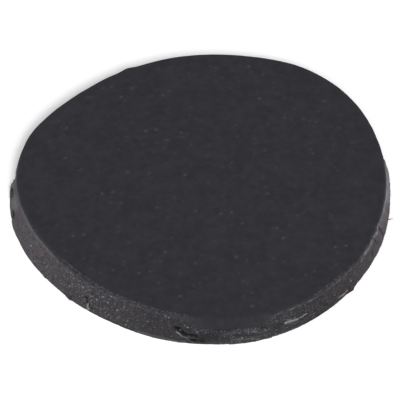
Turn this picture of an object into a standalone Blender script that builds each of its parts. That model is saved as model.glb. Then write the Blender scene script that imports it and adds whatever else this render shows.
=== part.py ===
# Stick-on rubber pad: one disc, cut by hand out of soft rubber sheet.
# Metres, +Z up. The origin is the middle of the underside, which is the sticky face.
# A bearing is an angle round the disc in degrees, from +X towards +Y.

import math

import bmesh
import bpy

# Driving dimensions
FACE_DIAMETER = 0.02924     # the upper face, measured across its mean outline
THICKNESS = 0.00200         # the sheet that the disc is cut from
EDGE_FLARE = 0.00052        # how much further out the underside's edge lies, on average
EDGE_LEAN = 0.00032         # how much more it lies out on the side that the blade leaned to
LEAN_BEARING = 233.0
EDGE_SWAY = 0.00019         # how much more still at this bearing and opposite it
SWAY_BEARING = 41.0
RIM_ROUND = 0.00013         # the soft corner between the upper face and the cut edge
FOOT_ROUND = 0.00004        # the sharper corner at the underside

# The outline is no true circle. It has three soft corners, and weaker bulges on them.
BULGES = [
    {"count": 2, "height": 0.00011, "bearing": 2.0},
    {"count": 3, "height": 0.00043, "bearing": 52.0},
    {"count": 4, "height": 0.00004, "bearing": -8.0},
    {"count": 5, "height": 0.00004, "bearing": -34.0},
    {"count": 6, "height": 0.00007, "bearing": -11.0},
]

# At the front the blade pressed the rim over before it cut. The rim comes in and goes down
# in one long roll, which starts softly and stops short where the cut jumped.
ROLL_REACH = 0.00032        # how far in from the edge it starts
ROLL_DROP = 0.00070         # how far down the edge it goes
ROLL_STARTS = (260.0, 274.0)
ROLL_STOPS = (286.2, 288.8)

# Marks that the cutting left on the edge. Each is a smooth swelling or hollow: it stands
# proud by so much (a hollow is negative), is so long and so wide, and slants upwards
# along the edge by so many degrees. These are placed by how far they lie below the rim.
RIM_MARKS = [
    # the tag of rubber where the roll stops
    {"bearing": 288.6, "below": 0.00045, "proud": 0.00014, "length": 0.00050, "width": 0.00030, "slant": 35.0},
    # two slanting nicks beside each other on the right, and a swelling between them
    {"bearing": 341.0, "below": 0.00080, "proud": -0.00014, "length": 0.00090, "width": 0.00024, "slant": -62.0},
    {"bearing": 338.4, "below": 0.00040, "proud": 0.00008, "length": 0.00060, "width": 0.00035, "slant": -60.0},
    {"bearing": 336.2, "below": 0.00050, "proud": -0.00010, "length": 0.00060, "width": 0.00024, "slant": -62.0},
    # a long shallow cut at the right end, a low corner at the back, and low swellings beside it
    {"bearing": 345.0, "below": 0.0, "proud": -0.00012, "length": 0.00300, "width": 0.00120, "slant": 0.0},
    {"bearing": 117.5, "below": 0.0, "proud": 0.00016, "length": 0.00060, "width": 0.00120, "slant": 0.0},
    {"bearing": 60.0, "below": 0.0, "proud": 0.00009, "length": 0.00220, "width": 0.00300, "slant": 0.0},
    {"bearing": 96.0, "below": 0.0, "proud": 0.00005, "length": 0.00350, "width": 0.00300, "slant": 0.0},
    {"bearing": 124.0, "below": 0.0, "proud": 0.00006, "length": 0.00160, "width": 0.00300, "slant": 0.0},
    {"bearing": 159.0, "below": 0.0, "proud": 0.00010, "length": 0.00250, "width": 0.00300, "slant": 0.0},
    # low swellings between the blade's strokes, on the right of the front
    {"bearing": 306.6, "below": 0.00040, "proud": 0.00010, "length": 0.00070, "width": 0.00050, "slant": 0.0},
    {"bearing": 325.0, "below": 0.00030, "proud": 0.00008, "length": 0.00060, "width": 0.00050, "slant": 0.0},
]
# These are placed by how far they lie above the underside.
FOOT_MARKS = [
    # the torn gash at the front, in two overlapping lengths, and the strand of rubber over it
    {"bearing": 263.6, "above": 0.00086, "proud": -0.00042, "length": 0.00078, "width": 0.00022, "slant": -14.0},
    {"bearing": 267.6, "above": 0.00022, "proud": -0.00028, "length": 0.00062, "width": 0.00014, "slant": -10.0},
    {"bearing": 264.4, "above": 0.00045, "proud": 0.00014, "length": 0.00080, "width": 0.00015, "slant": -16.0},
    # a slit down to the foot, and a burr beside it, on the left of the front
    {"bearing": 230.2, "above": 0.00035, "proud": -0.00026, "length": 0.00048, "width": 0.00022, "slant": -55.0},
    {"bearing": 225.0, "above": 0.00010, "proud": 0.00018, "length": 0.00028, "width": 0.00022, "slant": 0.0},
    # the foot spreads a little under the gash
    {"bearing": 258.0, "above": 0.0, "proud": 0.00009, "length": 0.00250, "width": 0.00090, "slant": 0.0},
    # the left end, which was cut more steeply, with a sliver and a gouge
    {"bearing": 175.0, "above": 0.0, "proud": -0.00015, "length": 0.00240, "width": 0.00150, "slant": 0.0},
    {"bearing": 177.8, "above": 0.00045, "proud": 0.00014, "length": 0.00050, "width": 0.00035, "slant": -20.0},
    {"bearing": 187.5, "above": 0.00045, "proud": -0.00026, "length": 0.00042, "width": 0.00028, "slant": 0.0},
    # the right end, where the foot comes out again, and a burr on the right of the front
    {"bearing": 10.0, "above": 0.0, "proud": 0.00008, "length": 0.00120, "width": 0.00120, "slant": 0.0},
    {"bearing": 319.0, "above": 0.00010, "proud": 0.00018, "length": 0.00028, "width": 0.00024, "slant": 0.0},
]

# How finely the solid is divided
STEPS_ROUND = 330
STEPS_UP = 10
ROUND_STEPS = 2
SHARP_ANGLE = 40.0

RUBBER_COLOUR = (0.034, 0.033, 0.038, 1.0)
RUBBER_ROUGHNESS = 0.85


def clear_scene():
    for old in list(bpy.data.objects):
        bpy.data.objects.remove(old)


def turn_between(bearing, other):
    """The smaller turn from one bearing to another, in degrees."""
    return (bearing - other + 180.0) % 360.0 - 180.0


def soft_step(bearing, ends):
    """Rises smoothly from 0 at the first bearing to 1 at the second."""
    first, second = ends
    share = turn_between(bearing, first) / turn_between(second, first)
    share = min(max(share, 0.0), 1.0)
    return share * share * (3.0 - 2.0 * share)


def face_radius(bearing):
    """The upper face's radius, before the roll and the marks."""
    radius = FACE_DIAMETER / 2
    for bulge in BULGES:
        turn = math.radians(turn_between(bearing, bulge["bearing"]))
        radius += bulge["height"] * math.cos(bulge["count"] * turn)
    return radius


def foot_radius(bearing):
    """The underside's radius, before the marks."""
    lean = EDGE_LEAN * math.cos(math.radians(turn_between(bearing, LEAN_BEARING)))
    sway = EDGE_SWAY * math.cos(2 * math.radians(turn_between(bearing, SWAY_BEARING)))
    return face_radius(bearing) + EDGE_FLARE + lean + sway


def roll_relief(bearing, below):
    """How far the rolled rim lies inside the plain edge, a distance below the upper face."""
    share_left = min(max(1.0 - below / ROLL_DROP, 0.0), 1.0)
    size = soft_step(bearing, ROLL_STARTS) * (1.0 - soft_step(bearing, ROLL_STOPS))
    return -ROLL_REACH * size * (1.0 - math.sqrt(1.0 - share_left ** 2))


def mark_relief(mark, bearing, rise):
    """How far a mark moves the edge at a bearing, a distance above the mark's middle."""
    along = math.radians(turn_between(bearing, mark["bearing"])) * FACE_DIAMETER / 2
    slant = math.radians(mark["slant"])
    lengthwise = along * math.cos(slant) + rise * math.sin(slant)
    across = rise * math.cos(slant) - along * math.sin(slant)
    falloff = (lengthwise / mark["length"]) ** 2 + (across / mark["width"]) ** 2
    return mark["proud"] * math.exp(-falloff)


def edge_radius(bearing, height):
    """The cut edge's radius at a bearing and a height above the underside."""
    below = THICKNESS - height
    share_up = height / THICKNESS
    radius = foot_radius(bearing) * (1 - share_up) + face_radius(bearing) * share_up
    radius += roll_relief(bearing, below)
    for mark in RIM_MARKS:
        radius += mark_relief(mark, bearing, mark["below"] - below)
    for mark in FOOT_MARKS:
        radius += mark_relief(mark, bearing, height - mark["above"])
    return radius


def rubber_material():
    material = bpy.data.materials.new("black_rubber")
    material.use_nodes = True
    shader = material.node_tree.nodes["Principled BSDF"]
    shader.inputs["Base Color"].default_value = RUBBER_COLOUR
    shader.inputs["Roughness"].default_value = RUBBER_ROUGHNESS
    shader.inputs["Metallic"].default_value = 0.0
    return material


def round_blank():
    """A plain round disc, with its edge divided into rows."""
    blank = bmesh.new()
    bmesh.ops.create_cone(
        blank,
        cap_ends=True,
        segments=STEPS_ROUND,
        radius1=FACE_DIAMETER / 2,
        radius2=FACE_DIAMETER / 2,
        depth=THICKNESS,
    )
    bmesh.ops.translate(blank, verts=blank.verts, vec=(0, 0, THICKNESS / 2))
    uprights = [edge for edge in blank.edges if len({vert.co.z > THICKNESS / 2 for vert in edge.verts}) == 2]
    bmesh.ops.subdivide_edges(blank, edges=uprights, cuts=STEPS_UP - 1, use_grid_fill=True)
    return blank


def round_corner(pad, name, height, width):
    """Rounds the corner that runs right round the pad at a height."""
    row_height = THICKNESS / STEPS_UP
    corner = [vert.index for vert in pad.data.vertices if abs(vert.co.z - height) < row_height / 2]
    pad.vertex_groups.new(name=name).add(corner, 1.0, "REPLACE")
    bevel = pad.modifiers.new(name, "BEVEL")
    bevel.limit_method = "VGROUP"
    bevel.vertex_group = name
    bevel.width = width
    bevel.segments = ROUND_STEPS


def make_pad(collection):
    """Each point on the blank's edge is moved in or out to where the cut runs."""
    blank = round_blank()
    for vert in blank.verts:
        bearing = math.degrees(math.atan2(vert.co.y, vert.co.x))
        stretch = edge_radius(bearing, vert.co.z) / math.hypot(vert.co.x, vert.co.y)
        vert.co.x *= stretch
        vert.co.y *= stretch
    mesh = bpy.data.meshes.new("rubber_pad")
    blank.to_mesh(mesh)
    blank.free()
    mesh.materials.append(rubber_material())
    mesh.shade_smooth()
    mesh.set_sharp_from_angle(angle=math.radians(SHARP_ANGLE))

    pad = bpy.data.objects.new("rubber_pad", mesh)
    collection.objects.link(pad)
    round_corner(pad, "soft_rim", THICKNESS, RIM_ROUND)
    round_corner(pad, "soft_foot", 0.0, FOOT_ROUND)
    return pad


def main():
    clear_scene()
    collection = bpy.data.collections.new("adhesive_rubber_pad")
    bpy.context.scene.collection.children.link(collection)
    make_pad(collection)


main()
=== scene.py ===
import math
import random

import bmesh
import bpy
from mathutils import Matrix, Vector, noise
from mathutils.bvhtree import BVHTree
from mathutils.kdtree import KDTree


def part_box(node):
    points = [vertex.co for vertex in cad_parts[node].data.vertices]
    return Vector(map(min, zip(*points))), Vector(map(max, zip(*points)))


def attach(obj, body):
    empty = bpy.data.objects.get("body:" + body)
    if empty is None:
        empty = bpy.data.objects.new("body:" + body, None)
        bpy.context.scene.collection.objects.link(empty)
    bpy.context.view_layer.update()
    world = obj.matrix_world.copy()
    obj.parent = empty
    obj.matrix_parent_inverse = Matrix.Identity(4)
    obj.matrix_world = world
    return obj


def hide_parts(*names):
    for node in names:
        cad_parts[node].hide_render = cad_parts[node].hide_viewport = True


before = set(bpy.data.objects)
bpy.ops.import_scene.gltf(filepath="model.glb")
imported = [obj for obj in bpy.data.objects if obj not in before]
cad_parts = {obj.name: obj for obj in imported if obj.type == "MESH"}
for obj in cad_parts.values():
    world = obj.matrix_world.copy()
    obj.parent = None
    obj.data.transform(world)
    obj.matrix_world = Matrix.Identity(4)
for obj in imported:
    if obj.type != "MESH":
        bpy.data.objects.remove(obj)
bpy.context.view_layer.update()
mm = 0.001
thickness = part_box("rubber_pad")[1].z
dice = random.Random(11)    # seeded, so that each run strews the same crumbs
print("frame loaded, the sheet is", round(thickness / mm, 2), "mm thick")


# The view, worked out from the outline: looking along +Y and down, from far off
view = {
    "pictureSize": 400.0,       # px, square
    "elevation": 47.3,          # degrees
    "distance": 257.2 * mm,
    "focalPixels": 3200.0,
    "sensorWidth": 36.0,        # mm
    "clip": (0.01, 20.0),       # m
    "middleAt": (207.1, 197.4),  # px, where the middle of the underside shows
}


def towardsCamera():
    rise = math.radians(view["elevation"])
    return Vector((0.0, -math.cos(rise), math.sin(rise)))


def aimPoint():
    # the point of the floor at the middle of the picture
    scale = view["distance"] / view["focalPixels"]
    half = view["pictureSize"] / 2
    right = (half - view["middleAt"][0]) * scale
    up = (view["middleAt"][1] - half) * scale
    return Vector((right, up / math.sin(math.radians(view["elevation"])), 0.0))


def makeCamera():
    data = bpy.data.cameras.new("camera")
    data.sensor_width = view["sensorWidth"]
    data.lens = view["focalPixels"] / view["pictureSize"] * view["sensorWidth"]
    data.clip_start, data.clip_end = view["clip"]
    camera = bpy.data.objects.new("camera", data)
    bpy.context.scene.collection.objects.link(camera)
    camera.location = aimPoint() + towardsCamera() * view["distance"]
    camera.rotation_euler = (math.radians(90.0 - view["elevation"]), 0.0, 0.0)
    bpy.context.scene.camera = camera


def raySeenAt(px, py):
    # from the camera through a pixel of the photograph
    rise = math.radians(view["elevation"])
    half = view["pictureSize"] / 2
    ahead = -towardsCamera() * view["focalPixels"]
    across = Vector((px - half, 0.0, 0.0))
    upward = Vector((0.0, math.sin(rise), math.cos(rise))) * (half - py)
    return aimPoint() + towardsCamera() * view["distance"], (ahead + across + upward).normalized()


def pointSeenAt(px, py, height):
    # the point at a height that shows at a pixel of the photograph
    start, ray = raySeenAt(px, py)
    return start + ray * ((height - start.z) / ray.z)


def softStep(value, low, high):
    share = min(max((value - low) / (high - low), 0.0), 1.0)
    return share * share * (3.0 - 2.0 * share)


def onEdge(bearing, radius, height):
    turn = math.radians(bearing)
    return Vector((radius * math.cos(turn), radius * math.sin(turn), height))


def bearingOf(point):
    # from 90 at the back, over the left, 270 in front, to 450
    return (math.degrees(math.atan2(point.y, point.x)) - 90.0) % 360.0 + 90.0


# Kinds of unevenness: the size of their lumps in mm, and a seed that keeps them apart
lumpKinds = {
    "slowWaves": (0.85, 0.0), "quickWaves": (0.30, 5.0), "fineGrain": (0.08, 7.0),
    "coarseGrain": (0.18, 1.0), "lumps": (0.55, 2.0), "bladeWaves": (1.1, 4.0),
    "strokeBorder": (0.12, 3.0), "rimHighlight": (0.3, 9.0), "rimGaps": (0.28, 8.0),
    "rimDust": (0.5, 11.0), "skinEnd": (0.2, 6.0),
}


def lumpy(point, kind):
    # smooth noise from about -1 to 1
    size, seed = lumpKinds[kind]
    return noise.noise(point / (size * mm) + Vector((seed, seed * 0.37, seed * 0.71)))


# The solid's own edge, read by rays shot at it between its two rounded corners
solidTree = BVHTree.FromObject(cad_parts["rubber_pad"], bpy.context.evaluated_depsgraph_get())
rays = {"from": 30 * mm, "lowest": 0.045 * mm, "highest": thickness - 0.004 * mm}


def solidRadius(bearing, height):
    level = min(max(height, rays["lowest"]), rays["highest"])
    start = onEdge(bearing, rays["from"], level)
    hit = solidTree.ray_cast(start, -onEdge(bearing, 1.0, 0.0))
    return rays["from"] - hit[3]


# Stretches where strokes give the shape of the marks: the solid's own are bridged over,
# up to a height in mm, which fades out over bridgeFade on either side of it
bridgeFade = 0.15
bridges = [
    {"starts": 256.5, "ends": 273.0, "upTo": 1.3},
    {"starts": 226.8, "ends": 234.5, "upTo": 1.3},
    {"starts": 184.0, "ends": 191.0, "upTo": 1.3},
]


def plainRadius(bearing, height):
    for bridge in bridges:
        if bridge["starts"] < bearing < bridge["ends"]:
            share = (bearing - bridge["starts"]) / (bridge["ends"] - bridge["starts"])
            ends = solidRadius(bridge["starts"], height), solidRadius(bridge["ends"], height)
            top = bridge["upTo"]
            over = 1.0 - softStep(height / mm, top - bridgeFade, top + bridgeFade)
            bridged = ends[0] * (1.0 - share) + ends[1] * share
            return solidRadius(bearing, height) * (1.0 - over) + bridged * over
    return solidRadius(bearing, height)


# Marks lie on the edge rolled out flat, at a spot: mm along it, and mm up it
unrolled = {"radius": 15.0, "halvings": 20}


def alongEdge(bearing):
    return math.radians(bearing) * unrolled["radius"]


def edgeSpot(point):
    return Vector((alongEdge(bearingOf(point)), point.z / mm))


def spotSeenAt(px, py):
    # the spot of the edge that shows at a pixel of the photograph, found by halving
    low, high = 0.0, thickness
    for _ in range(unrolled["halvings"]):
        middle = (low + high) / 2
        point = pointSeenAt(px, py, middle)
        if point.xy.length > plainRadius(bearingOf(point), middle):
            high = middle
        else:
            low = middle
    return edgeSpot(pointSeenAt(px, py, low))


# How the cut edge looks round the pad. The dust tone is a pale bloom of dust, and towards the
# two ends, where it is strongest, also a painted sheen; pink is a flush on it, grain is its
# roughness, rimDust what clings to the rim, and ragged how unevenly the skin ends. Between two
# bearings it blends from one to the other.
edgeZones = [
    {"bearing": 95, "dustAndSheen": 0.45, "pink": 0.2, "grain": 0.6, "rimDust": 0.2, "ragged": 0.4},
    {"bearing": 168, "dustAndSheen": 1.20, "pink": 0.2, "grain": 0.3, "rimDust": 0.2, "ragged": 0.1},
    {"bearing": 186, "dustAndSheen": 1.08, "pink": 0.3, "grain": 0.3, "rimDust": 0.3, "ragged": 0.1},
    {"bearing": 205, "dustAndSheen": 0.88, "pink": 0.35, "grain": 0.6, "rimDust": 0.2, "ragged": 0.1},
    {"bearing": 218, "dustAndSheen": 0.66, "pink": 0.3, "grain": 0.6, "rimDust": 0.5, "ragged": 0.2},
    {"bearing": 229, "dustAndSheen": 0.46, "pink": 0.0, "grain": 0.9, "rimDust": 1.0, "ragged": 0.6},
    {"bearing": 240, "dustAndSheen": 0.36, "pink": 0.0, "grain": 0.75, "rimDust": 1.1, "ragged": 1.0},
    {"bearing": 254, "dustAndSheen": 0.24, "pink": 0.0, "grain": 0.45, "rimDust": 1.0, "ragged": 1.0},
    {"bearing": 265, "dustAndSheen": 0.19, "pink": 0.0, "grain": 0.5, "rimDust": 0.35, "ragged": 0.8},
    {"bearing": 273, "dustAndSheen": 0.16, "pink": 0.0, "grain": 0.7, "rimDust": 0.0, "ragged": 1.0},
    {"bearing": 281, "dustAndSheen": 0.30, "pink": 0.1, "grain": 0.8, "rimDust": 0.0, "ragged": 1.0},
    {"bearing": 291, "dustAndSheen": 0.22, "pink": 0.0, "grain": 0.7, "rimDust": 0.3, "ragged": 0.4},
    {"bearing": 303, "dustAndSheen": 0.18, "pink": 0.1, "grain": 0.6, "rimDust": 0.4, "ragged": 0.5},
    {"bearing": 318, "dustAndSheen": 0.25, "pink": 0.5, "grain": 0.5, "rimDust": 0.9, "ragged": 0.5},
    {"bearing": 330, "dustAndSheen": 0.46, "pink": 0.9, "grain": 0.5, "rimDust": 0.5, "ragged": 0.4},
    {"bearing": 345, "dustAndSheen": 0.94, "pink": 0.8, "grain": 0.5, "rimDust": 0.2, "ragged": 0.2},
    {"bearing": 366, "dustAndSheen": 1.45, "pink": 0.6, "grain": 0.4, "rimDust": 0.1, "ragged": 0.2},
    {"bearing": 390, "dustAndSheen": 0.60, "pink": 0.3, "grain": 0.6, "rimDust": 0.2, "ragged": 0.4},
    {"bearing": 455, "dustAndSheen": 0.45, "pink": 0.2, "grain": 0.6, "rimDust": 0.2, "ragged": 0.4},
]


def zoneAt(bearing):
    before, after = edgeZones[0], edgeZones[0]
    for zone in edgeZones:
        before, after = after, zone
        if zone["bearing"] > bearing:
            break
    reach = max(after["bearing"] - before["bearing"], 1)
    share = min(max((bearing - before["bearing"]) / reach, 0.0), 1.0)
    return {key: before[key] * (1.0 - share) + after[key] * share for key in before}


# Marks on the cut edge, each drawn as a stroke through pixels of the photograph, with its
# half width in mm at each of them. lift stands it proud or sinks it, in mm, and level sets
# how proud it stands whatever lies under it. through is a lift that also shifts the foot, and
# soft lets it fade out widely. The other words are its tones. dark is a dark tone, and on the
# sunken marks it is painted shade in their hollows.
edgeStrokes = [
    # the torn gash at the front in two lobes, with the rib between them, its lobes painted dark as
    # shade in their hollows
    {"seen": [(173, 327.3, 0.04), (176, 328.4, 0.14), (178.8, 330.2, 0.22), (182.5, 333.4, 0.14),
              (187, 335.4, 0.11), (192, 335.9, 0.11), (197, 336.3, 0.05)],
     "lift": -0.26, "dark": 1.0},
    {"seen": [(186.5, 339.0, 0.06), (189.5, 339.7, 0.14), (193, 340.2, 0.14), (196.5, 341.0, 0.05)],
     "lift": -0.24, "dark": 1.0},
    {"seen": [(197.5, 340.9, 0.05), (202, 341.4, 0.06), (205.5, 342.0, 0.03)],
     "lift": -0.12, "dark": 0.8},
    {"seen": [(187, 336.6, 0.12), (196, 338, 0.20), (204, 340, 0.16)], "lift": -0.03, "dark": 0.3},
    {"seen": [(183, 336.6, 0.03), (186, 337.1, 0.04), (190, 337.4, 0.04), (195, 338.0, 0.04),
              (199, 339.2, 0.02)],
     "lift": 0.12, "dark": -1.0, "pale": 0.05},
    {"seen": [(176.2, 331.6, 0.045), (177, 332.2, 0.05)], "level": 0.03, "dark": -1, "pale": 0.20},
    {"seen": [(179, 330.8, 0.05), (180.8, 331.4, 0.07)], "level": -0.04, "dark": -1, "pale": 0.09},
    {"seen": [(196.6, 331.6, 0.07), (197.2, 332.0, 0.06)], "lift": 0.04, "pale": 0.20},
    {"seen": [(199.5, 330.6, 0.03), (209.5, 329.3, 0.025)], "lift": 0.03, "pale": 0.12},
    {"seen": [(204, 336, 0.30), (216, 337, 0.25)], "lift": -0.03, "dark": 0.30},
    {"seen": [(138, 331.5, 0.13), (160, 338, 0.13), (186, 342.5, 0.10)], "pale": 0.07},
    {"seen": [(234, 343, 0.40), (246, 342.5, 0.50), (268, 340, 0.40)], "through": 0.07},
    {"seen": [(208, 342.8, 0.06), (256, 342.5, 0.06)], "pale": 0.05},
    # streaks under the rolled rim
    {"seen": [(226, 332.8, 0.05), (240, 332.3, 0.08)], "pale": 0.05},
    {"seen": [(244, 330.6, 0.05), (257, 331.3, 0.06)], "pale": 0.07},
    {"seen": [(230, 339.2, 0.05), (246, 338.4, 0.07), (260, 338.0, 0.06)], "pale": 0.06},
    {"seen": [(216, 330.4, 0.05), (232, 330.0, 0.05)], "lift": -0.03, "dark": 0.4},
    {"seen": [(234, 335.8, 0.06), (254, 335.2, 0.06)], "lift": -0.03, "dark": 0.4},
    # the slit and small nicks, painted dark as shade in their hollows, the nick in the foot,
    # painted pale for the lit floor that shows through it, and a burr, on the left of the front
    {"seen": [(84.2, 297.2, 0.08), (85.8, 298.6, 0.12), (86.4, 301, 0.10), (86.7, 303.0, 0.06)],
     "lift": -0.32, "dark": 1.0},
    {"seen": [(87.8, 304.2, 0.05), (87.0, 306, 0.08), (87.3, 308, 0.08), (88.6, 309.8, 0.07)],
     "through": -0.45, "pale": 1.4},
    {"seen": [(88.8, 305.0, 0.06), (89.3, 306.2, 0.06)], "lift": -0.10, "dark": 0.9},
    {"seen": [(90.5, 296.2, 0.04), (94, 296.1, 0.04)], "lift": 0.04, "pale": 0.10},
    {"seen": [(89.5, 301.5, 0.04), (91.5, 300, 0.04)], "lift": 0.04, "pale": 0.12},
    {"seen": [(69.8, 295.8, 0.09), (71.5, 297.8, 0.09)], "lift": 0.14, "dark": 0.45},
    {"seen": [(92, 293, 0.05), (93, 294, 0.05)], "lift": -0.10, "dark": 0.8},
    {"seen": [(107, 297, 0.05), (108, 298, 0.05)], "lift": -0.10, "dark": 0.8},
    {"seen": [(76, 289.5, 0.15), (77.5, 292.5, 0.15)], "pink": 0.8},
    # the left end: a gouge, painted dark as shade in its hollow, a sliver with a dark tip, and pink
    # and pale bloom, the pale partly painted sheen
    {"seen": [(12.9, 212.8, 0.22), (13.2, 216.6, 0.24)], "lift": -0.24, "dark": 1.0},
    {"seen": [(12.4, 184, 0.25), (11.8, 189, 0.20), (11.2, 196, 0.20)], "lift": 0.06},
    {"seen": [(13.0, 184, 0.25), (13.6, 187, 0.20)], "pale": 0.10},
    {"seen": [(12.0, 190, 0.14), (11.6, 196.5, 0.18)], "dark": 0.5},
    {"seen": [(12.6, 188, 0.10), (13.0, 197, 0.10)], "lift": -0.06, "dark": 0.45},
    {"seen": [(13.5, 201, 0.55), (15.5, 205.5, 0.60)], "pale": 0.13, "soft": True},
    {"seen": [(15, 160, 0.90), (14.5, 175, 0.60)], "through": -0.13},
    {"seen": [(14.6, 176, 0.30), (14.4, 178.6, 0.35)], "through": -0.12},
    {"seen": [(14.2, 221, 0.40), (17.5, 235, 0.60), (25, 248, 0.60), (33, 259, 0.60),
              (44, 273, 0.50)],
     "through": 0.08},
    {"seen": [(17.5, 209, 0.35), (19, 228, 0.35)], "pink": 0.4},
    {"seen": [(32, 252.5, 0.25), (47, 253.5, 0.25)], "pink": 0.4},
    {"seen": [(23.2, 226.1, 0.06), (23.8, 226.8, 0.06)], "lift": 0.02, "pale": 0.16},
    # where the rolled rim stops: a notch, painted dark as shade in its hollow, and its light chip
    {"seen": [(261, 327.4, 0.06), (267, 328.3, 0.05)], "lift": -0.14, "dark": 0.8},
    {"seen": [(264, 329.6, 0.04), (266, 330, 0.05)], "lift": 0.04, "pale": 0.25},
    {"seen": [(275, 326, 0.25), (282, 325, 0.22)], "dark": 0.35},
    # the bright scuff on the right of the front
    {"seen": [(284, 323.2, 0.03), (286, 322.4, 0.09), (288, 321.8, 0.045), (290.2, 321, 0.09),
              (292.6, 320.4, 0.05), (294.5, 319.8, 0.10), (297, 318.8, 0.03)],
     "lift": 0.05, "pale": 0.36},
    {"seen": [(287, 320.4, 0.03), (292, 318.9, 0.06)], "lift": 0.02, "pale": 0.14},
    {"seen": [(285, 323.8, 0.07), (293, 323, 0.09)], "pale": 0.08},
    {"seen": [(296, 319.2, 0.04), (299, 318, 0.04), (302, 316.3, 0.05), (306, 313.6, 0.06)],
     "lift": 0.04, "pale": 0.34},
    {"seen": [(283, 325.5, 0.05), (284.5, 324.2, 0.05)], "pale": 0.10},
    {"seen": [(262, 341, 0.10), (270, 339.2, 0.12), (280, 336, 0.12), (290, 332.2, 0.12),
              (303, 326, 0.10)],
     "pale": 0.09},
    # spots, a yellowed edge and a burr further right
    {"seen": [(310.5, 300, 0.05), (311.5, 300.4, 0.05)], "lift": 0.02, "pale": 0.22},
    {"seen": [(320, 303.5, 0.12), (325, 305, 0.15)], "lift": -0.04, "dark": 0.35, "brown": 0.4},
    {"seen": [(331, 301, 0.40), (342, 294, 0.40)], "through": 0.06},
    {"seen": [(338, 297, 0.04), (342, 294.2, 0.07), (344.5, 292.6, 0.045), (347, 290.8, 0.06)],
     "lift": 0.06, "pale": 0.21, "yellow": 0.45},
    {"seen": [(337, 291, 0.20), (344, 288, 0.22)], "brown": 0.4},
    {"seen": [(347, 292.5, 0.10), (349.5, 290.5, 0.10)], "lift": 0.12, "dark": 0.5},
    {"seen": [(350, 280, 0.05), (351, 281, 0.05)], "lift": 0.02, "pale": 0.26},
    {"seen": [(333.6, 284, 0.06), (334.4, 284.6, 0.06)], "lift": 0.02, "pale": 0.22},
    # light bloom, partly painted sheen, nicks painted dark as shade in their hollows, and streaks
    # at the right end
    {"seen": [(387.5, 164, 0.50), (388.5, 178, 0.60), (388.8, 192, 0.40)], "through": 0.09},
    {"seen": [(387.5, 166, 0.70), (387.8, 182, 1.10), (387.3, 198, 0.70)],
     "pale": 0.24, "soft": True},
    {"seen": [(385.6, 192, 0.50), (384.8, 202, 0.50), (384, 209, 0.40)],
     "pale": 0.15, "soft": True},
    {"seen": [(386, 212, 0.60), (380, 226, 0.60)], "pale": 0.04, "soft": True},
    {"seen": [(378, 225, 0.50), (374, 236, 0.45), (366, 250, 0.40)], "pale": 0.10, "soft": True},
    {"seen": [(377.4, 223.4, 0.035), (379.6, 228, 0.04)], "lift": -0.08, "dark": 0.6},
    {"seen": [(379.4, 227.5, 0.05), (381, 230.5, 0.07), (383.0, 235.6, 0.09)],
     "lift": -0.13, "dark": 0.85},
    {"seen": [(371.5, 236.5, 0.04), (374.5, 239.5, 0.06), (378, 243.5, 0.04)],
     "lift": -0.05, "dark": 0.5},
    {"seen": [(372, 249.5, 0.06), (372.8, 256, 0.10)], "lift": -0.14, "dark": 0.85},
    {"seen": [(388, 218.5, 0.08), (388.2, 221.5, 0.08)], "lift": -0.10, "dark": 0.8},
    {"seen": [(376, 231.5, 0.05), (377.3, 229, 0.07)], "lift": 0.02, "pale": 0.25},
    {"seen": [(357, 264, 0.22), (361, 265, 0.22)], "brown": 0.4},
    {"seen": [(372, 240, 0.15), (374.5, 241.5, 0.15)], "brown": 0.35},
]
strokeTones = ("dark", "pale", "pink", "yellow", "brown")

# The brightest bits of filler on the edge, in pixels of the photograph
brightBits = {
    "seen": [
        (31, 245.5), (71, 272.4), (73.8, 278.3), (69.8, 286), (82.5, 287), (88.9, 290),
        (96.8, 299.7), (103.2, 296.9), (108.3, 302.7), (111.2, 296.5), (117, 310), (124, 306.7),
        (125.6, 324.6), (147.8, 321.4), (165.6, 316.1), (168.5, 317.5), (187.5, 327.3),
        (193.9, 325.1),
    ],
    "reach": (0.3, 0.2),        # px across and down
    "halfWidth": 0.045,         # mm
    "pale": 0.32,
}
for px, py in brightBits["seen"]:
    (right, down), width = brightBits["reach"], brightBits["halfWidth"]
    bit = [(px - right, py, width), (px + right, py + down, width)]
    edgeStrokes.append({"seen": bit, "pale": brightBits["pale"]})

# Each stroke's way along the rolled out edge, and how far along it the stroke reaches
for stroke in edgeStrokes:
    stroke["spots"] = [(spotSeenAt(px, py), width) for px, py, width in stroke["seen"]]
    stroke["span"] = [min(spot.x - width * 2 for spot, width in stroke["spots"]),
                      max(spot.x + width * 2 for spot, width in stroke["spots"])]


# How a stroke fades out, in half widths from its middle
strokeBorder = {"crisp": (0.65, 1.15), "ragged": 0.25, "soft": (0.1, 1.4), "reach": 1.6}


def strokeShare(stroke, spot, point):
    # 1 on the stroke and 0 off it, with a ragged border
    if not stroke["span"][0] < spot.x < stroke["span"][1]:
        return 0.0
    nearest = math.inf
    for (start, startWidth), (end, endWidth) in zip(stroke["spots"], stroke["spots"][1:]):
        run = end - start
        share = min(max((spot - start).dot(run) / max(run.length_squared, 1e-9), 0.0), 1.0)
        away = (spot - start - run * share).length
        nearest = min(nearest, away / (startWidth * (1.0 - share) + endWidth * share))
    if nearest > strokeBorder["reach"]:
        return 0.0
    if "soft" in stroke:
        return 1.0 - softStep(nearest, *strokeBorder["soft"])
    nearest += strokeBorder["ragged"] * lumpy(point, "strokeBorder")
    return 1.0 - softStep(nearest, *strokeBorder["crisp"])


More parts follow.
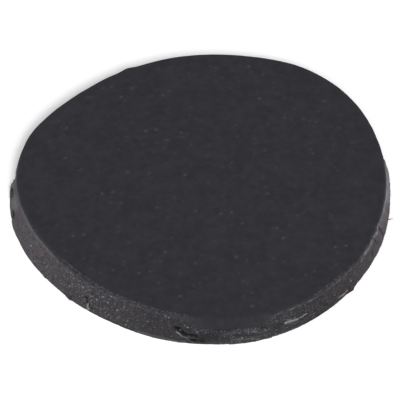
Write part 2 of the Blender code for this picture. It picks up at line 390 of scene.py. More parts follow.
# Thin light lines along the rounded rim, painted highlights, in mm below the face. The greater
# gaps is, the more broken they are.
rimHighlights = [
    {"starts": 188, "ends": 216, "below": 0.13, "width": 0.20, "pale": 0.06, "gaps": -0.1},
    {"starts": 288, "ends": 306, "below": 0.08, "width": 0.06, "pale": 0.18, "gaps": 0.4},
    {"starts": 309, "ends": 324, "below": 0.08, "width": 0.06, "pale": 0.22, "gaps": 0.4},
    {"starts": 322, "ends": 342, "below": 0.17, "width": 0.26, "pale": 0.16, "gaps": 0.3},
    {"starts": 339, "ends": 372, "below": 0.18, "width": 0.26, "pale": 0.12, "gaps": 0.1},
]
rimHighlightForm = {
    "wander": 0.03,             # mm
    "border": (0.4, 1.1),       # shares of the width
    "gapBorder": 0.6,
    "taper": 4.0,               # degrees
}


def rimHighlightPale(bearing, below, point):
    pale = 0.0
    for line in rimHighlights:
        if line["starts"] < bearing < line["ends"]:
            fromEnd = min(bearing - line["starts"], line["ends"] - bearing)
            middle = line["below"] + rimHighlightForm["wander"] * lumpy(point, "rimHighlight")
            near = 1.0 - softStep(abs(below - middle) / line["width"], *rimHighlightForm["border"])
            gaps = line["gaps"]
            kept = softStep(lumpy(point, "rimGaps"), gaps - rimHighlightForm["gapBorder"], gaps)
            taper = softStep(fromEnd, 0.0, rimHighlightForm["taper"])
            pale = max(pale, line["pale"] * near * kept * taper)
    return pale


# The skin of the sheet reaches over the rolled rim along the front, between these bearings, and
# ends in a ragged line. The face sags there. The skin on the roll, and on the face next to it, is
# painted darker as shade, because the tilted roll catches more light than the face.
rolledSkin = {
    "starts": 261.0, "full": 268.0, "holds": 286.2, "ends": 288.4,
    "plainDepth": 0.10,         # mm, how far down the skin reaches elsewhere
    "depth": 0.62,              # mm, and how much further on the roll
    "lookBorder": (-0.02, 0.05),    # mm past its depth, how softly its look and relief end
    "reliefBorder": (-0.05, 0.10),
    "paintedShade": 0.42,
    "shadeSetsIn": (-0.1, 0.15),    # mm below the face
    "shadeEases": (0.2, 0.5),
    "easesBy": 0.35,            # share of it
    "faceShade": 0.3,           # share of the shade that lies on the face, next to the rim
    "faceShadeFrom": 0.984,     # share of the radius
    "sag": 0.045,               # mm
    "sagsFrom": 0.955,          # share of the radius
}


def rollSize(bearing):
    size = softStep(bearing, rolledSkin["starts"], rolledSkin["full"])
    return size * (1.0 - softStep(bearing, rolledSkin["holds"], rolledSkin["ends"]))


def skinDepth(bearing):
    # how far below the face the skin reaches, in mm
    return rolledSkin["plainDepth"] + rolledSkin["depth"] * rollSize(bearing)


def bareShare(bearing, below, border):
    # 0 on the skin and 1 on the cut rubber under it
    depth = skinDepth(bearing)
    return softStep(below, depth + border[0], depth + border[1])


def rimShare(bearing):
    # how high the sagging rim lies, as a share of the thickness
    return 1.0 - rolledSkin["sag"] * rollSize(bearing) * mm / thickness


padForm = {
    "faceSteps": 180,           # squares across the face
    "faceHalf": 15.2 * mm,
    "trimmedAt": 0.972,         # shares of the radius
    "ringsAt": (0.9955, 0.991, 0.986),
    "calmFrom": 0.985,          # the face's waves die away from here to the rim
    "rimPoints": 1150,
    "frontCrowding": 0.35,      # the points lie closer together along the front
    "edgeRows": 46,
    "rowCrowding": 1.25,        # the rows lie closer together round the rim
    "undersideRings": (0.99, 0.95),
    "slowWaves": 0.014,         # mm, the face's own unevenness
    "quickWaves": 0.005,
    "fineGrain": 0.012,         # mm, the roughness of the cut edge
    "coarseGrain": 0.024,
    "lumps": 0.020,
    "skinLumps": 0.3,           # share of the lumps that shows through the skin
    "bladeWaves": 0.030,
    "bladeStretch": (0.26, 0.4),    # how far the blade drew them out, along and up
    "rimFade": 0.08,            # mm, over which the roughness dies away at the rim
    "footFade": (0.02, 0.16),   # mm up from the foot, where the strokes' lift sets in
    "dustReach": (0.993, 0.006),    # share of the radius where rim dust starts, and its wander
}


def faceHeight(point, share):
    # the leathery unevenness of the face, which dies away at the rim
    wave = padForm["slowWaves"] * lumpy(point, "slowWaves")
    wave += padForm["quickWaves"] * lumpy(point, "quickWaves")
    sag = max((share - rolledSkin["sagsFrom"]) / (1.0 - rolledSkin["sagsFrom"]), 0.0) ** 2
    rim = thickness * (1.0 + (rimShare(bearingOf(point)) - 1.0) * sag)
    return rim + wave * mm * (1.0 - softStep(share, padForm["calmFrom"], 1.0))


# Crumbs and light grains of filler that the cutting laid bare
crumbs = {
    "count": 9000,
    "sizes": (0.028, 0.06),     # mm
    "core": 0.2,                # share of its size that is fully light
    "proud": 0.024,             # mm
    "rarity": 5.0,              # the higher, the fewer light ones
    "fullGrain": 1.3,           # the grain at which no place is passed over
    "onSkin": 0.7,              # how light one shows on the skin, where there is rim dust
}


def strewCrumbs():
    # where each crumb lies on the edge rolled out flat, with its size and how light it is
    finder, kinds = KDTree(crumbs["count"]), []
    for index in range(crumbs["count"]):
        bearing = dice.uniform(90.0, 450.0)
        while dice.random() > zoneAt(bearing)["grain"] / crumbs["fullGrain"]:
            bearing = dice.uniform(90.0, 450.0)
        finder.insert((alongEdge(bearing), dice.uniform(0.0, thickness / mm), 0.0), index)
        kinds.append((dice.uniform(*crumbs["sizes"]), dice.random() ** crumbs["rarity"]))
    finder.balance()
    return finder, kinds


crumbFinder, crumbKinds = strewCrumbs()


def crumbAt(spot):
    # how much of a crumb lies at a spot of the edge, from 0 to 1
    found = 0.0
    for _, index, away in crumbFinder.find_range(spot.to_3d(), crumbs["sizes"][1]):
        size, light = crumbKinds[index]
        found = max(found, light * (1.0 - softStep(away / size, crumbs["core"], 1.0)))
    return found


def edgeRelief(bearing, point, zone, crumb, touching):
    # how far the cut edge stands proud of the plain solid, in metres
    below = (thickness - point.z) / mm
    bare = bareShare(bearing, below, rolledSkin["reliefBorder"])
    relief = padForm["fineGrain"] * lumpy(point, "fineGrain") * bare * zone["grain"]
    relief += padForm["coarseGrain"] * lumpy(point, "coarseGrain") * bare * zone["grain"]
    relief += crumbs["proud"] * crumb * bare
    shown = padForm["skinLumps"] + (1.0 - padForm["skinLumps"]) * bare
    relief += padForm["lumps"] * lumpy(point, "lumps") * shown
    along, upward = padForm["bladeStretch"]
    drawnOut = Vector((bearing * along * mm, 0.0, point.z * upward))
    relief += padForm["bladeWaves"] * lumpy(drawnOut, "bladeWaves")
    relief *= softStep(below, 0.0, padForm["rimFade"])
    aboveFoot = softStep(point.z / mm, *padForm["footFade"])
    for stroke, share in touching:
        if "level" in stroke:
            relief += (stroke["level"] - relief) * share
        else:
            relief += stroke.get("lift", 0.0) * share * aboveFoot
            relief += stroke.get("through", 0.0) * share
    return relief * mm


# The mesh
def openEdges(bm):
    return [edge for edge in bm.edges if edge.is_boundary]


def faceShare(point):
    return point.xy.length / solidRadius(bearingOf(point), thickness)


def shapeFace(bm):
    # a fine square mesh, trimmed a little inside the rim
    steps = padForm["faceSteps"]
    bmesh.ops.create_grid(bm, x_segments=steps, y_segments=steps, size=padForm["faceHalf"])
    outside = [vert for vert in bm.verts if faceShare(vert.co) > padForm["trimmedAt"]]
    bmesh.ops.delete(bm, geom=outside, context="VERTS")
    loose = [vert for vert in bm.verts if not vert.link_faces]
    bmesh.ops.delete(bm, geom=loose, context="VERTS")
    bmesh.ops.delete(bm, geom=[edge for edge in bm.edges if not edge.link_faces], context="EDGES")
    trimmed = openEdges(bm)

    # the rim, with its points closer together along the front, rings inside it, and the join
    rim = bmesh.ops.create_circle(bm, segments=padForm["rimPoints"], radius=1.0)["verts"]
    for vert in rim:
        bearing = bearingOf(vert.co)
        bearing -= math.degrees(padForm["frontCrowding"] * math.cos(math.radians(bearing)))
        vert.co = onEdge(bearing, solidRadius(bearing, thickness), 0.0)
    ringEdges, reached = list({edge for vert in rim for edge in vert.link_edges}), 1.0
    for share in padForm["ringsAt"]:
        grown = bmesh.ops.extrude_edge_only(bm, edges=ringEdges)
        ring = {item for item in grown["geom"] if isinstance(item, bmesh.types.BMVert)}
        bmesh.ops.scale(bm, verts=list(ring), vec=(share / reached, share / reached, 1.0))
        ringEdges = [item for item in grown["geom"] if isinstance(item, bmesh.types.BMEdge)
                     and item.verts[0] in ring and item.verts[1] in ring]
        reached = share
    bmesh.ops.triangle_fill(bm, edges=trimmed + ringEdges, use_beauty=True)

    # its height, the dust along the rim and the painted shade next to the roll
    layers = bm.verts.layers.float
    start, wander = padForm["dustReach"]
    for vert in bm.verts:
        share, bearing = faceShare(vert.co), bearingOf(vert.co)
        vert.co.z = faceHeight(vert.co, share)
        reach = start + wander * lumpy(vert.co, "rimDust")
        dusty = softStep(share, max(reach - wander, padForm["ringsAt"][-1]), reach + wander)
        vert[layers["dustAndSheen"]] = zoneAt(bearing)["rimDust"] * dusty
        paintedShade = rolledSkin["faceShade"] * rolledSkin["paintedShade"] * rollSize(bearing)
        vert[layers["dark"]] = paintedShade * softStep(share, rolledSkin["faceShadeFrom"], 1.0)


def shapeEdge(bm):
    rows = padForm["edgeRows"]
    layers = bm.verts.layers.float
    for row in range(1, rows + 1):
        height = thickness * (1.0 - (row / rows) ** padForm["rowCrowding"])
        below = (thickness - height) / mm
        grown = bmesh.ops.extrude_edge_only(bm, edges=openEdges(bm))
        for vert in [item for item in grown["geom"] if isinstance(item, bmesh.types.BMVert)]:
            bearing = bearingOf(vert.co)
            zone = zoneAt(bearing)
            plain = onEdge(bearing, plainRadius(bearing, height), height)
            spot = edgeSpot(plain)
            shares = [(stroke, strokeShare(stroke, spot, plain)) for stroke in edgeStrokes]
            touching = [(stroke, share) for stroke, share in shares if share > 0.0]
            crumb = crumbAt(spot)
            relief = edgeRelief(bearing, plain, zone, crumb, touching)
            vert.co = onEdge(bearing, plain.xy.length + relief, height * rimShare(bearing))
            bare = bareShare(bearing, below, rolledSkin["lookBorder"])
            # dust on the bare cut, with painted sheen towards the two ends, and rim dust on the
            # skin
            vert[layers["dustAndSheen"]] = zone["dustAndSheen"] * bare + zone["rimDust"] * (1.0 - bare)
            vert[layers["grain"]] = zone["grain"]
            tones = {tone: 0.0 for tone in strokeTones}
            tones["pink"] = zone["pink"]
            # the rim's painted highlight
            tones["pale"] = rimHighlightPale(bearing, below, plain)
            # painted shade on the roll, which catches more light than the face
            paintedShade = rolledSkin["paintedShade"] * rollSize(bearing) * (1.0 - bare)
            paintedShade *= softStep(below, *rolledSkin["shadeSetsIn"])
            eased = rolledSkin["easesBy"] * softStep(below, *rolledSkin["shadeEases"])
            tones["dark"] = paintedShade * (1.0 - eased)
            for stroke, share in touching:
                for tone in strokeTones:
                    tones[tone] = max(tones[tone] + share * stroke.get(tone, 0.0), 0.0)
            for tone in strokeTones:
                vert[layers[tone]] = tones[tone]
            crumb *= min(zone["grain"], 1.0) * (1.0 - min(tones["dark"], 1.0))
            vert[layers["crumb"]] = crumb * max(bare, crumbs["onSkin"] * min(zone["rimDust"], 1.0))


def closeUnderside(bm):
    for edge in openEdges(bm):
        edge.smooth = False
    for inward in padForm["undersideRings"]:
        grown = bmesh.ops.extrude_edge_only(bm, edges=openEdges(bm))
        ring = [item for item in grown["geom"] if isinstance(item, bmesh.types.BMVert)]
        bmesh.ops.scale(bm, verts=ring, vec=(inward, inward, 1.0))
    bmesh.ops.holes_fill(bm, edges=openEdges(bm), sides=0)


# Grains of filler that stand up out of the skin, and pits in it, painted dark as shade. The
# plainest ones are where the photograph shows them, in its pixels, and the rest are strewn.
faceSpecks = {
    "seen": [
        (169, 90.5), (162.5, 96), (132, 88.5), (121, 97.5), (110.5, 86), (145.5, 131),
        (156, 130), (181.5, 132), (166, 140.5), (148.5, 174), (128.5, 172), (185, 175.5),
        (66, 128.5), (65.5, 158), (101.5, 193), (112, 192), (122, 203), (156.5, 207.5),
        (195, 211), (221, 213.5), (231.5, 212), (241.5, 223.5), (74, 236), (84, 234.5),
        (164.5, 252.5), (236.5, 257), (112, 270), (138.5, 273.5), (149, 272), (159, 283),
        (180.5, 296), (253, 306.5), (249, 66.5), (259, 98), (284.5, 118), (304.5, 119.5),
        (324, 102), (339, 128), (265.5, 151), (312.5, 153.5), (268, 194), (276, 228.5),
        (283.5, 238), (336, 247), (346, 246),
    ],
    "seenSizes": (0.6, 1.0),    # shares of the height
    "strewn": 520,
    "strewnTo": 0.96,           # share of the radius
    "strewnSizes": (0.05, 1.0),  # squared, then scaled, so that most are small
    "strewnScale": 0.5,
    "alongRim": [(216, 264, 260), (304, 318, 40)],  # two bearings, and how many
    "rimReach": 0.02,           # share of the radius that they lie within
    "rimSizes": (0.1, 1.0),     # squared
    "height": 0.022,            # mm
    "skirt": 0.18,              # how light the skin is at the grain's foot
    "skirtGap": 0.002,          # share of the radius, which keeps the skirt off the last ring
    "pits": [(192, 287.5), (97, 229), (145, 165), (83, 274)],
    "pitDepth": 0.03,           # mm
    "pitRadii": (0.05, 0.30),   # mm, of its bottom and its mouth
    "pitShade": 0.6,
}


def addSpecks(bm):
    # each grain is a raised point in the middle of the square it falls on
    squares = [face for face in bm.faces if len(face.verts) == 4]
    finder = KDTree(len(squares))
    for index, face in enumerate(squares):
        finder.insert(face.calc_center_median(), index)
    finder.balance()
    specks = [(pointSeenAt(px, py, thickness), dice.uniform(*faceSpecks["seenSizes"]))
              for px, py in faceSpecks["seen"]]
    for _ in range(faceSpecks["strewn"]):
        bearing = dice.uniform(0.0, 360.0)
        share = math.sqrt(dice.random()) * faceSpecks["strewnTo"]
        place = onEdge(bearing, share * solidRadius(bearing, thickness), thickness)
        size = dice.uniform(*faceSpecks["strewnSizes"]) ** 2 * faceSpecks["strewnScale"]
        specks.append((place, size))
    for starts, ends, count in faceSpecks["alongRim"]:
        for _ in range(count):
            bearing = dice.uniform(starts, ends)
            share = 1.0 - faceSpecks["rimReach"] * dice.random()
            place = onEdge(bearing, share * solidRadius(bearing, thickness), thickness)
            specks.append((place, dice.uniform(*faceSpecks["rimSizes"]) ** 2))

    # where two share a square, the larger stays
    taken = {}
    for place, size in specks:
        index = finder.find(place)[1]
        taken[index] = max(size, taken.get(index, 0.0))
    layers, lastRing = bm.verts.layers.float, padForm["ringsAt"][-1]
    for index, size in taken.items():
        corners = squares[index].verts[:]
        middle = bmesh.ops.poke(bm, faces=[squares[index]])["verts"][0]
        middle.co.z += faceSpecks["height"] * size * mm
        onRim = faceShare(middle.co) > lastRing
        light = layers["crumb" if onRim else "pale"]
        middle[light] = size
        for vert in corners:
            if not onRim or faceShare(vert.co) > lastRing + faceSpecks["skirtGap"]:
                vert[light] = max(vert[light], faceSpecks["skirt"] * size)

    # the pits are sunk a little and painted dark as shade
    dark = layers["dark"]
    pits = [pointSeenAt(px, py, thickness) for px, py in faceSpecks["pits"]]
    for vert in bm.verts:
        away = min((vert.co - pit).length for pit in pits) / mm
        share = 1.0 - softStep(away, *faceSpecks["pitRadii"])
        vert.co.z -= faceSpecks["pitDepth"] * share * mm
        vert[dark] = max(vert[dark], share * faceSpecks["pitShade"])


# Strands of torn rubber, each drawn out of one small face of the edge. It starts where the
# photograph shows it, and runs in steps across, away from the view and up, in mm. The last
# value of a step is how pale the strand is there.
strands = [
    {"seen": (176.6, 331.4), "thick": 0.085, "thin": 0.05, "run": [
        (0.02, -0.07, 0.01, 0.30), (0.15, -0.05, -0.07, 0.34), (0.28, -0.145, -0.19, 0.16),
        (0.32, -0.08, -0.10, 0.16), (0.16, -0.10, -0.12, 0.08), (0.24, -0.10, -0.12, 0.10),
        (0.17, -0.10, -0.09, 0.42)]},
    {"seen": (388.4, 220), "thick": 0.06, "thin": 0.025, "run": [
        (0.05, -0.01, 0.0, 0.1), (0.09, 0.01, 0.02, 0.4), (0.13, 0.02, 0.02, 0.6),
        (0.13, 0.01, 0.0, 0.6)]},
    {"seen": (84.4, 304.5), "thick": 0.10, "thin": 0.05, "run": [
        (-0.02, -0.06, 0.0, 0.08), (-0.03, -0.09, -0.10, 0.12), (-0.07, -0.06, -0.08, 0.14)]},
]


def drawStrands(bm):
    pale = bm.verts.layers.float["pale"]
    for strand in strands:
        spot = spotSeenAt(*strand["seen"])
        bearing = math.degrees(spot.x / unrolled["radius"])
        root = onEdge(bearing, plainRadius(bearing, spot.y * mm), spot.y * mm)
        face = min(bm.faces, key=lambda item: (item.calc_center_median() - root).length)
        middle = face.calc_center_median()
        for step, (*run, light) in enumerate(strand["run"]):
            face = bmesh.ops.extrude_discrete_faces(bm, faces=[face])["faces"][0]
            face.normal_update()
            ahead = Vector(run).normalized()
            turn = face.normal.rotation_difference(ahead).to_matrix()
            bmesh.ops.rotate(bm, verts=face.verts, cent=middle, matrix=turn)
            share = step / (len(strand["run"]) - 1)
            width = strand["thick"] * (1.0 - share) + strand["thin"] * share
            resize = (width * mm / math.sqrt(face.calc_area()),) * 3
            about = Matrix.Translation(-middle)
            bmesh.ops.scale(bm, verts=face.verts, vec=resize, space=about)
            bmesh.ops.translate(bm, verts=face.verts, vec=Vector(run) * mm)
            middle = middle + Vector(run) * mm
            for vert in face.verts:
                vert[pale] = light


# Where one material ends and the next begins
materialBorders = {
    "ragged": 0.10,             # mm that the skin's end wanders, in a ragged zone
    "leastSkin": 0.03,          # mm below the face
    "coatFacing": -0.9,         # faces that look down as much as this, and lie this low
    "coatUpTo": 0.02,           # mm
}


def sortMaterials(bm):
    # 0 skin, 1 cut rubber, 2 the sticky coat underneath
    for face in bm.faces:
        face.smooth = True
        middle = face.calc_center_median()
        below = (thickness - middle.z) / mm
        bearing = bearingOf(middle)
        ragged = zoneAt(bearing)["ragged"] * materialBorders["ragged"] * lumpy(middle, "skinEnd")
        skinEnds = max(skinDepth(bearing) + ragged, materialBorders["leastSkin"])
        face.material_index = 1 if below > skinEnds else 0
        low = middle.z < materialBorders["coatUpTo"] * mm
        if low and face.normal.z < materialBorders["coatFacing"]:
            face.material_index = 2


def makePad(materials):
    bm = bmesh.new()
    for tone in ("dustAndSheen", "grain", "crumb") + strokeTones:
        bm.verts.layers.float.new(tone)
    shapeFace(bm)
    addSpecks(bm)
    shapeEdge(bm)
    closeUnderside(bm)
    bmesh.ops.recalc_face_normals(bm, faces=bm.faces)
    bm.normal_update()
    sortMaterials(bm)
    drawStrands(bm)
    mesh = bpy.data.meshes.new("rubberPad")
    bm.to_mesh(mesh)
    bm.free()
    for material in materials:
        mesh.materials.append(material)
    pad = bpy.data.objects.new("rubberPad", mesh)
    bpy.context.scene.collection.objects.link(pad)
    print("pad shaped,", len(mesh.polygons), "faces")
    return pad


# Materials. These are a mix node's sockets for colours, whose names it uses more than once.
mixSockets = {"share": 0, "below": 6, "above": 7, "mixed": 2}


class Finish:
    # one material, with short ways to add its nodes

    def __init__(self, name):
        self.material = bpy.data.materials.new(name)
        self.material.use_nodes = True
        self.tree = self.material.node_tree
        self.shader = self.tree.nodes["Principled BSDF"]
        self.place = self.tree.nodes.new("ShaderNodeTexCoord").outputs["Object"]

    def put(self, value, socket):
        if isinstance(value, bpy.types.NodeSocket):
            self.tree.links.new(value, socket)
        else:
            socket.default_value = value

    def mathOf(self, operation, first, second, clamp=False):
        node = self.tree.nodes.new("ShaderNodeMath")
        node.operation = operation
        node.use_clamp = clamp
        self.put(first, node.inputs[0])
        self.put(second, node.inputs[1])
        return node.outputs[0]

    def times(self, first, second, clamp=False):
        return self.mathOf("MULTIPLY", first, second, clamp)

    def plus(self, first, second):
        return self.mathOf("ADD", first, second)

    def mix(self, share, below, above, blend="MIX"):
        node = self.tree.nodes.new("ShaderNodeMix")
        node.data_type = "RGBA"
        node.blend_type = blend
        node.clamp_factor = True
        self.put(share, node.inputs[mixSockets["share"]])
        self.put(below, node.inputs[mixSockets["below"]])
        self.put(above, node.inputs[mixSockets["above"]])
        return node.outputs[mixSockets["mixed"]]

    def painted(self, name):
        node = self.tree.nodes.new("ShaderNodeAttribute")
        node.attribute_name = name
        return node.outputs["Fac"]

    def lumps(self, kind):
        # noise, given by the size of its lumps in mm, its detail and its roughness
        size, detail, rough = kind
        node = self.tree.nodes.new("ShaderNodeTexNoise")
        self.put(self.place, node.inputs["Vector"])
        node.inputs["Scale"].default_value = 1.0 / (size * mm)
        node.inputs["Detail"].default_value = detail
        node.inputs["Roughness"].default_value = rough
        return node.outputs["Fac"]

    def ramp(self, value, limits):
        # 0 at the first limit and 1 at the second
        node = self.tree.nodes.new("ShaderNodeMapRange")
        self.put(value, node.inputs["Value"])
        node.inputs["From Min"].default_value, node.inputs["From Max"].default_value = limits
        return node.outputs["Result"]

    def between(self, value, least, more):
        return self.plus(self.times(value, more), least)

    def finish(self, colour, roughness, specular, height=None, depth=0.0):
        self.put(colour, self.shader.inputs["Base Color"])
        self.put(roughness, self.shader.inputs["Roughness"])
        self.shader.inputs["Specular IOR Level"].default_value = specular
        if height:
            bump = self.tree.nodes.new("ShaderNodeBump")
            bump.inputs["Distance"].default_value = depth * mm
            self.put(height, bump.inputs["Height"])
            self.put(bump.outputs["Normal"], self.shader.inputs["Normal"])
        return self.material


# In the looks, a noise is the size of its lumps in mm, its detail and its roughness, and a
# roughness is its least value and how much more a noise adds.
skinLook = {
    "colour": (0.0182, 0.0174, 0.0214, 1.0),
    "lightColour": (0.0246, 0.0236, 0.0288, 1.0),
    "grainColour": (0.084, 0.083, 0.093, 1.0),
    "crumbColour": (0.180, 0.175, 0.190, 1.0),
    "dustAndSheenColour": (0.074, 0.072, 0.088, 1.0),
    "skinShadeColour": (0.010, 0.010, 0.012, 1.0),
    "broadClouds": (1.8, 3.0, 0.6),
    "smallClouds": (0.6, 3.0, 0.5),
    "cloudLimits": (0.80, 1.20),
    "dustGrains": (0.11, 2.0, 0.6),
    "grainLimits": (0.42, 0.62),
    "dustPatches": (0.55, 2.0, 0.6),
    "patchLimits": (0.40, 0.58),
    "mostDust": 0.8,
    "gloss": (0.5, 2.0, 0.5),
    "roughness": (0.6, 0.3),
    "specular": 0.15,
    "bump": (0.14, 2.0, 0.6),
    "bumpDepth": 0.006,         # mm
}


def skinRubber():
    skin, look = Finish("skinRubber"), skinLook
    clouds = skin.plus(skin.lumps(look["broadClouds"]), skin.lumps(look["smallClouds"]))
    colour = skin.mix(skin.ramp(clouds, look["cloudLimits"]), look["colour"], look["lightColour"])
    grains = skin.ramp(skin.lumps(look["dustGrains"]), look["grainLimits"])
    patches = skin.ramp(skin.lumps(look["dustPatches"]), look["patchLimits"])
    dustAndSheen = skin.times(skin.times(skin.painted("dustAndSheen"), grains), patches)
    colour = skin.mix(skin.times(dustAndSheen, look["mostDust"]), colour, look["dustAndSheenColour"])
    colour = skin.mix(skin.painted("crumb"), colour, look["crumbColour"])
    colour = skin.mix(skin.painted("pale"), colour, look["grainColour"])
    # painted shade: on the roll, next to it on the face, and in the pits
    colour = skin.mix(skin.painted("dark"), colour, look["skinShadeColour"])
    rough = skin.between(skin.lumps(look["gloss"]), *look["roughness"])
    bump = skin.lumps(look["bump"])
    return skin.finish(colour, rough, look["specular"], bump, look["bumpDepth"])


cutLook = {
    "colour": (0.0134, 0.0126, 0.0141, 1.0),
    "dustAndSheenColour": (0.072, 0.068, 0.076, 1.0),
    "speckColour": (0.30, 0.29, 0.31, 1.0),
    "paleColour": (0.46, 0.44, 0.46, 1.0),
    "pinkTint": (1.0, 0.80, 0.84, 1.0),
    "brownColour": (0.036, 0.026, 0.023, 1.0),
    "yellowColour": (0.30, 0.27, 0.16, 1.0),
    "darkColour": (0.003, 0.003, 0.003, 1.0),
    "fine": (0.085, 2.0, 0.7),
    "middling": (0.26, 2.0, 0.6),
    "coarse": (0.7, 2.0, 0.6),
    "bloomAndSheenAt": {"fine": 0.75, "middling": 0.25, "coarse": 0.5},     # added to each noise
    "fineSpecks": (0.54, 0.68),
    "speckPatches": (0.36, 0.60),
    "mostSpeck": 0.25,
    "hollowShade": (0.46, 0.34),
    "mostHollowShade": 0.6,
    "flush": (0.7, 2.0, 0.5),
    "flushLimits": (0.40, 0.62),
    "fraying": (0.32, 0.66),
    "leastFrayed": 0.45,
    "mostYellow": 0.8,
    "roughness": (0.60, 0.3),
    "specular": 0.1,
    "bumpDepth": 0.02,          # mm
}


def cutRubber():
    cut, look, bloomAndSheenAt = Finish("cutRubber"), cutLook, cutLook["bloomAndSheenAt"]
    fine, middling, coarse = [cut.lumps(look[kind]) for kind in ("fine", "middling", "coarse")]
    # the pale bloom of dust, which towards the two ends is also painted sheen
    bloomAndSheen = cut.times(cut.painted("dustAndSheen"), cut.plus(middling, bloomAndSheenAt["middling"]))
    bloomAndSheen = cut.times(bloomAndSheen, cut.plus(coarse, bloomAndSheenAt["coarse"]))
    bloomAndSheen = cut.times(bloomAndSheen, cut.plus(fine, bloomAndSheenAt["fine"]), True)
    colour = cut.mix(bloomAndSheen, look["colour"], look["dustAndSheenColour"])
    specks = cut.times(cut.ramp(fine, look["fineSpecks"]), cut.ramp(middling, look["speckPatches"]))
    specks = cut.times(cut.times(specks, cut.painted("grain")), look["mostSpeck"])
    colour = cut.mix(cut.plus(specks, cut.painted("crumb")), colour, look["speckColour"])
    # painted shade in the low spots of the fine bump
    hollowShade = cut.times(cut.ramp(fine, look["hollowShade"]), look["mostHollowShade"])
    colour = cut.mix(hollowShade, colour, look["darkColour"])
    flush = cut.ramp(cut.lumps(look["flush"]), look["flushLimits"])
    tinted = cut.mix(1.0, colour, look["pinkTint"], "MULTIPLY")
    colour = cut.mix(cut.times(cut.painted("pink"), flush), colour, tinted)
    colour = cut.mix(cut.painted("brown"), colour, look["brownColour"])
    frayed = cut.plus(cut.ramp(fine, look["fraying"]), look["leastFrayed"])
    colour = cut.mix(cut.times(cut.painted("pale"), frayed), colour, look["paleColour"])
    yellow = cut.times(cut.painted("yellow"), look["mostYellow"])
    colour = cut.mix(yellow, colour, look["yellowColour"])
    # dark marks, and painted shade in the sunken ones
    colour = cut.mix(cut.painted("dark"), colour, look["darkColour"])
    rough = cut.between(fine, *look["roughness"])
    return cut.finish(colour, rough, look["specular"], fine, look["bumpDepth"])


coatLook = {
    "colour": (0.017, 0.017, 0.018, 1.0),
    "lightColour": (0.026, 0.025, 0.026, 1.0),
    "clouds": (1.6, 3.0, 0.6),
    "cloudLimits": (0.35, 0.65),
    "roughness": (0.25, 0.3),
    "specular": 0.5,
    "bump": (0.5, 2.0, 0.5),
    "bumpDepth": 0.02,          # mm
}


def stickyCoat():
    coat, look = Finish("stickyCoat"), coatLook
    clouds = coat.lumps(look["clouds"])
    colour = coat.mix(coat.ramp(clouds, look["cloudLimits"]), look["colour"], look["lightColour"])
    rough = coat.between(clouds, *look["roughness"])
    bump = coat.lumps(look["bump"])
    return coat.finish(colour, rough, look["specular"], bump, look["bumpDepth"])


# Floor, world and lamps
studio = {
    "white": (1.0, 1.0, 1.0, 1.0),
    "floorHalf": 2.0,           # m
    "floorColour": (0.85, 0.85, 0.85, 1.0),
    "floorRoughness": 0.9,
    "floorSpecular": 0.0,
    "floorGap": 0.01 * mm,      # keeps the floor off the pad's underside
    "floorGlow": 0.28,          # seen only by the camera and in reflections
    "worldLight": 0.30,
    "worldSeen": 1.0,
}


def seenShare(tree):
    # 1 for rays from the camera, in a reflection or through glass
    path = tree.nodes.new("ShaderNodeLightPath")
    share = path.outputs["Is Camera Ray"]
    for other in ("Is Glossy Ray", "Is Transmission Ray"):
        either = tree.nodes.new("ShaderNodeMath")
        either.operation = "MAXIMUM"
        tree.links.new(share, either.inputs[0])
        tree.links.new(path.outputs[other], either.inputs[1])
        share = either.outputs[0]
    return share


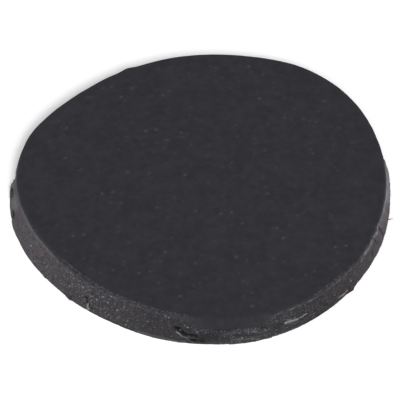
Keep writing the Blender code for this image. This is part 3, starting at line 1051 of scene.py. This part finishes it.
def makeFloor():
    bm = bmesh.new()
    bmesh.ops.create_grid(bm, x_segments=1, y_segments=1, size=studio["floorHalf"])
    bmesh.ops.translate(bm, verts=bm.verts, vec=(0.0, 0.0, -studio["floorGap"]))
    mesh = bpy.data.meshes.new("floor")
    bm.to_mesh(mesh)
    bm.free()
    floor = bpy.data.objects.new("floor", mesh)
    bpy.context.scene.collection.objects.link(floor)
    paper = Finish("paperFloor")
    glow = paper.mathOf("MULTIPLY", seenShare(paper.tree), studio["floorGlow"])
    paper.shader.inputs["Emission Color"].default_value = studio["white"]
    paper.put(glow, paper.shader.inputs["Emission Strength"])
    look = studio["floorColour"], studio["floorRoughness"], studio["floorSpecular"]
    mesh.materials.append(paper.finish(*look))


def makeWorld():
    world = bpy.data.worlds.new("studio")
    world.use_nodes = True
    bpy.context.scene.world = world
    tree = world.node_tree
    background = tree.nodes["Background"]
    background.inputs["Color"].default_value = studio["white"]
    strength = tree.nodes.new("ShaderNodeMapRange")
    strength.inputs["To Min"].default_value = studio["worldLight"]
    strength.inputs["To Max"].default_value = studio["worldSeen"]
    tree.links.new(seenShare(tree), strength.inputs["Value"])
    tree.links.new(strength.outputs["Result"], background.inputs["Strength"])


# Each lamp is placed by where it stands seen from above, 0 in front and 90 on the right, in
# degrees and metres. level is how bright it makes a white card that faces it.
lamps = [
    {"name": "key", "side": 11, "elevation": 41, "distance": 0.5, "size": 0.12, "level": 0.80},
    {"name": "leftFill", "side": -80, "elevation": 14, "distance": 0.4, "size": 0.2, "level": 0.40},
    {"name": "rightFill", "side": 85, "elevation": 14, "distance": 0.4, "size": 0.2, "level": 0.35},
]


def makeLamp(lamp):
    data = bpy.data.lights.new(lamp["name"], "AREA")
    data.size = lamp["size"]
    data.energy = lamp["level"] * math.pi ** 2 * lamp["distance"] ** 2
    light = bpy.data.objects.new(lamp["name"], data)
    bpy.context.scene.collection.objects.link(light)
    side, rise = math.radians(lamp["side"]), math.radians(lamp["elevation"])
    level = Vector((math.sin(side), -math.cos(side), 0.0)) * math.cos(rise)
    away = level + Vector((0.0, 0.0, math.sin(rise)))
    light.location = away * lamp["distance"]
    light.rotation_mode = "QUATERNION"
    light.rotation_quaternion = away.to_track_quat("Z", "Y")


def main():
    makeCamera()
    makeFloor()
    makeWorld()
    for lamp in lamps:
        makeLamp(lamp)
    print("studio set")
    pad = makePad([skinRubber(), cutRubber(), stickyCoat()])
    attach(pad, "root")
    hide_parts("rubber_pad")
    bpy.context.scene.view_settings.view_transform = "Standard"


main()

print("done")
